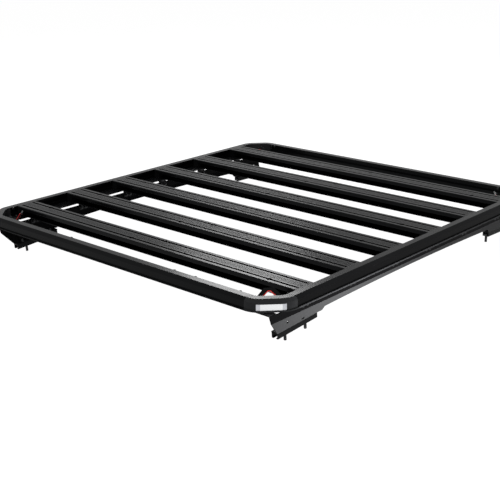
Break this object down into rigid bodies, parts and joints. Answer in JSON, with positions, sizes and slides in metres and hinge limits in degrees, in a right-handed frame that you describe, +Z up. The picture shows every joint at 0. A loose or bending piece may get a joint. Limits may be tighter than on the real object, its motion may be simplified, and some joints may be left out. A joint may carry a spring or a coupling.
{
  "type": "flat platform roof rack",
  "caption": "Flat platform roof rack: low rounded rim with slotted cross slats, corner tie-down loops and side foot rails on short channels with studs.",
  "frame": {"origin": "middle of the rack in plan, level with the tips of the outer studs that it stands on", "axes": "+X to the right, +Y to the rear along the longer side, +Z up, square to the deck"},
  "size_m": [1.2504, 1.3386, 0.1463],
  "materials": {
    "rim_coat": "fine textured black powder coat",
    "corner_coat": "fine textured black powder coat on a moulded corner",
    "slat_coat": "fine textured black powder coat",
    "slat_end_coat": "satin black",
    "loop_coat": "satin black powder coat",
    "red_liner": "smooth red moulding",
    "silver_plate": "satin silver, blank",
    "rail_coat": "smooth dark grey powder coat",
    "channel_coat": "black anodised",
    "stud_steel": "dark coated stud"
  },
  "bodies": {
    "root": {"front_profile": "rim_coat", "rear_profile": "rim_coat", "left_profile": "rim_coat", "right_profile": "rim_coat", "front_left_corner": "corner_coat", "front_right_corner": "corner_coat", "rear_left_corner": "corner_coat", "rear_right_corner": "corner_coat", "slat_1": "slat_coat", "slat_2": "slat_coat", "slat_3": "slat_coat", "slat_4": "slat_coat", "slat_5": "slat_coat", "slat_6": "slat_coat", "left_slat_ends": "slat_end_coat", "right_slat_ends": "slat_end_coat", "front_left_tie_loop": "loop_coat", "front_right_tie_loop": "loop_coat", "rear_left_tie_loop": "loop_coat", "rear_right_tie_loop": "loop_coat", "front_left_loop_liner": "red_liner", "front_right_loop_liner": "red_liner", "rear_left_loop_liner": "red_liner", "rear_right_loop_liner": "red_liner", "corner_plate": "silver_plate", "left_foot_rail": "rail_coat", "right_foot_rail": "rail_coat", "left_rail_brackets": "rail_coat", "right_rail_brackets": "rail_coat", "front_left_foot_channel": "channel_coat", "front_right_foot_channel": "channel_coat", "rear_left_foot_channel": "channel_coat", "rear_right_foot_channel": "channel_coat", "front_left_studs": "stud_steel", "front_right_studs": "stud_steel", "rear_left_studs": "stud_steel", "rear_right_studs": "stud_steel"}
  },
  "joints": []
}
